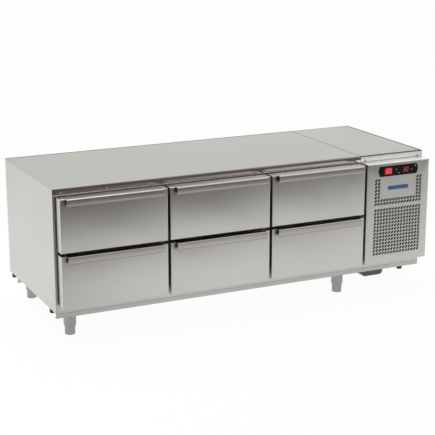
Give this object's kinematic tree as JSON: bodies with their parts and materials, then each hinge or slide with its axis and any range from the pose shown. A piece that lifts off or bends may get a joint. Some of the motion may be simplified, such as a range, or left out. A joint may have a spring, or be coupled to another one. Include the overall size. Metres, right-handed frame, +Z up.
{
  "type": "refrigerated chef base",
  "caption": "Low refrigerated counter with telescopic pan drawers, a perforated machine panel at the right, and adjustable legs.",
  "frame": {"origin": "on the floor, under the middle of the whole unit's bounding box", "axes": "+X to the right seen from the front, where the machine bay is; -Y to the front, where the drawers open; +Z up"},
  "size_m": [1.75, 0.7246, 0.64],
  "materials": {
    "brushed_steel": "brushed",
    "runner_steel": "smooth",
    "galvanised_sheet": "zinc-coated",
    "gasket_rubber": "matt",
    "black_plastic": "gloss",
    "red_plastic": "gloss",
    "black_paint": "satin",
    "fin_aluminium": "mill"
  },
  "bodies": {
    "cabinet": {"cabinet_shell": "brushed_steel", "worktop": "brushed_steel", "machine_top": "brushed_steel", "front_frame": "brushed_steel", "runner_rack_left": "runner_steel", "runner_rack_middle_1": "runner_steel", "runner_rack_middle_2": "runner_steel", "runner_rack_right": "runner_steel", "front_base_rail": "brushed_steel", "rear_base_rail": "brushed_steel", "machine_base": "galvanised_sheet", "machine_cover": "brushed_steel", "grille_panel": "brushed_steel", "control_bezel": "black_plastic", "condenser": "fin_aluminium", "fan_shroud": "galvanised_sheet", "compressor": "black_paint", "evaporator": "fin_aluminium", "drip_tray": "brushed_steel", "leg_front_left": "brushed_steel", "leg_front_right": "brushed_steel", "leg_rear_left": "brushed_steel", "leg_rear_right": "brushed_steel"},
    "drawer_top_left": {"drawer_front_top_left": "brushed_steel", "drawer_gasket_top_left": "gasket_rubber", "pan_carrier_top_left": "runner_steel"},
    "runners_top_left": {"middle_runner_top_left_lh": "runner_steel", "middle_runner_top_left_rh": "runner_steel"},
    "drawer_bottom_left": {"drawer_front_bottom_left": "brushed_steel", "drawer_gasket_bottom_left": "gasket_rubber", "pan_carrier_bottom_left": "runner_steel"},
    "runners_bottom_left": {"middle_runner_bottom_left_lh": "runner_steel", "middle_runner_bottom_left_rh": "runner_steel"},
    "drawer_top_centre": {"drawer_front_top_centre": "brushed_steel", "drawer_gasket_top_centre": "gasket_rubber", "pan_carrier_top_centre": "runner_steel"},
    "runners_top_centre": {"middle_runner_top_centre_lh": "runner_steel", "middle_runner_top_centre_rh": "runner_steel"},
    "drawer_bottom_centre": {"drawer_front_bottom_centre": "brushed_steel", "drawer_gasket_bottom_centre": "gasket_rubber", "pan_carrier_bottom_centre": "runner_steel"},
    "runners_bottom_centre": {"middle_runner_bottom_centre_lh": "runner_steel", "middle_runner_bottom_centre_rh": "runner_steel"},
    "drawer_top_right": {"drawer_front_top_right": "brushed_steel", "drawer_gasket_top_right": "gasket_rubber", "pan_carrier_top_right": "runner_steel"},
    "runners_top_right": {"middle_runner_top_right_lh": "runner_steel", "middle_runner_top_right_rh": "runner_steel"},
    "drawer_bottom_right": {"drawer_front_bottom_right": "brushed_steel", "drawer_gasket_bottom_right": "gasket_rubber", "pan_carrier_bottom_right": "runner_steel"},
    "runners_bottom_right": {"middle_runner_bottom_right_lh": "runner_steel", "middle_runner_bottom_right_rh": "runner_steel"},
    "foot_front_left": {"foot_front_left": "brushed_steel"},
    "foot_front_right": {"foot_front_right": "brushed_steel"},
    "foot_rear_left": {"foot_rear_left": "brushed_steel"},
    "foot_rear_right": {"foot_rear_right": "brushed_steel"},
    "power_switch": {"power_switch": "red_plastic"},
    "condenser_fan": {"condenser_fan": "black_plastic"},
    "evaporator_fan": {"evaporator_fan": "black_plastic"}
  },
  "joints": [
    {"name": "drawer_top_left_slide", "type": "slide", "parent": "cabinet", "child": "drawer_top_left", "axis": [0, -1, 0], "range_m": [0, 0.48]},
    {"name": "runners_top_left_slide", "type": "slide", "parent": "cabinet", "child": "runners_top_left", "axis": [0, -1, 0], "range_m": [0, 0.24]},
    {"name": "drawer_bottom_left_slide", "type": "slide", "parent": "cabinet", "child": "drawer_bottom_left", "axis": [0, -1, 0], "range_m": [0, 0.48]},
    {"name": "runners_bottom_left_slide", "type": "slide", "parent": "cabinet", "child": "runners_bottom_left", "axis": [0, -1, 0], "range_m": [0, 0.24]},
    {"name": "drawer_top_centre_slide", "type": "slide", "parent": "cabinet", "child": "drawer_top_centre", "axis": [0, -1, 0], "range_m": [0, 0.48]},
    {"name": "runners_top_centre_slide", "type": "slide", "parent": "cabinet", "child": "runners_top_centre", "axis": [0, -1, 0], "range_m": [0, 0.24]},
    {"name": "drawer_bottom_centre_slide", "type": "slide", "parent": "cabinet", "child": "drawer_bottom_centre", "axis": [0, -1, 0], "range_m": [0, 0.48]},
    {"name": "runners_bottom_centre_slide", "type": "slide", "parent": "cabinet", "child": "runners_bottom_centre", "axis": [0, -1, 0], "range_m": [0, 0.24]},
    {"name": "drawer_top_right_slide", "type": "slide", "parent": "cabinet", "child": "drawer_top_right", "axis": [0, -1, 0], "range_m": [0, 0.48]},
    {"name": "runners_top_right_slide", "type": "slide", "parent": "cabinet", "child": "runners_top_right", "axis": [0, -1, 0], "range_m": [0, 0.24]},
    {"name": "drawer_bottom_right_slide", "type": "slide", "parent": "cabinet", "child": "drawer_bottom_right", "axis": [0, -1, 0], "range_m": [0, 0.48]},
    {"name": "runners_bottom_right_slide", "type": "slide", "parent": "cabinet", "child": "runners_bottom_right", "axis": [0, -1, 0], "range_m": [0, 0.24]},
    {"name": "foot_front_left_height", "type": "slide", "parent": "cabinet", "child": "foot_front_left", "axis": [0, 0, -1], "range_m": [0, 0.025]},
    {"name": "foot_front_right_height", "type": "slide", "parent": "cabinet", "child": "foot_front_right", "axis": [0, 0, -1], "range_m": [0, 0.025]},
    {"name": "foot_rear_left_height", "type": "slide", "parent": "cabinet", "child": "foot_rear_left", "axis": [0, 0, -1], "range_m": [0, 0.025]},
    {"name": "foot_rear_right_height", "type": "slide", "parent": "cabinet", "child": "foot_rear_right", "axis": [0, 0, -1], "range_m": [0, 0.025]},
    {"name": "power_switch_rock", "type": "hinge", "parent": "cabinet", "child": "power_switch", "pos_m": [0.658, -0.34075, 0.5751], "axis": [0, 0, 1], "range_deg": [-16, 0]},
    {"name": "condenser_fan_spin", "type": "hinge", "parent": "cabinet", "child": "condenser_fan", "pos_m": [0.71307, -0.16475, 0.2565], "axis": [0, 1, 0], "continuous": true},
    {"name": "evaporator_fan_spin", "type": "hinge", "parent": "cabinet", "child": "evaporator_fan", "pos_m": [-0.2976, 0.28095, 0.455], "axis": [0, 1, 0], "continuous": true}
  ],
  "couplings": [
    {"joint": "runners_top_left_slide", "follows": "drawer_top_left_slide", "ratio": 0.5},
    {"joint": "runners_bottom_left_slide", "follows": "drawer_bottom_left_slide", "ratio": 0.5},
    {"joint": "runners_top_centre_slide", "follows": "drawer_top_centre_slide", "ratio": 0.5},
    {"joint": "runners_bottom_centre_slide", "follows": "drawer_bottom_centre_slide", "ratio": 0.5},
    {"joint": "runners_top_right_slide", "follows": "drawer_top_right_slide", "ratio": 0.5},
    {"joint": "runners_bottom_right_slide", "follows": "drawer_bottom_right_slide", "ratio": 0.5}
  ]
}
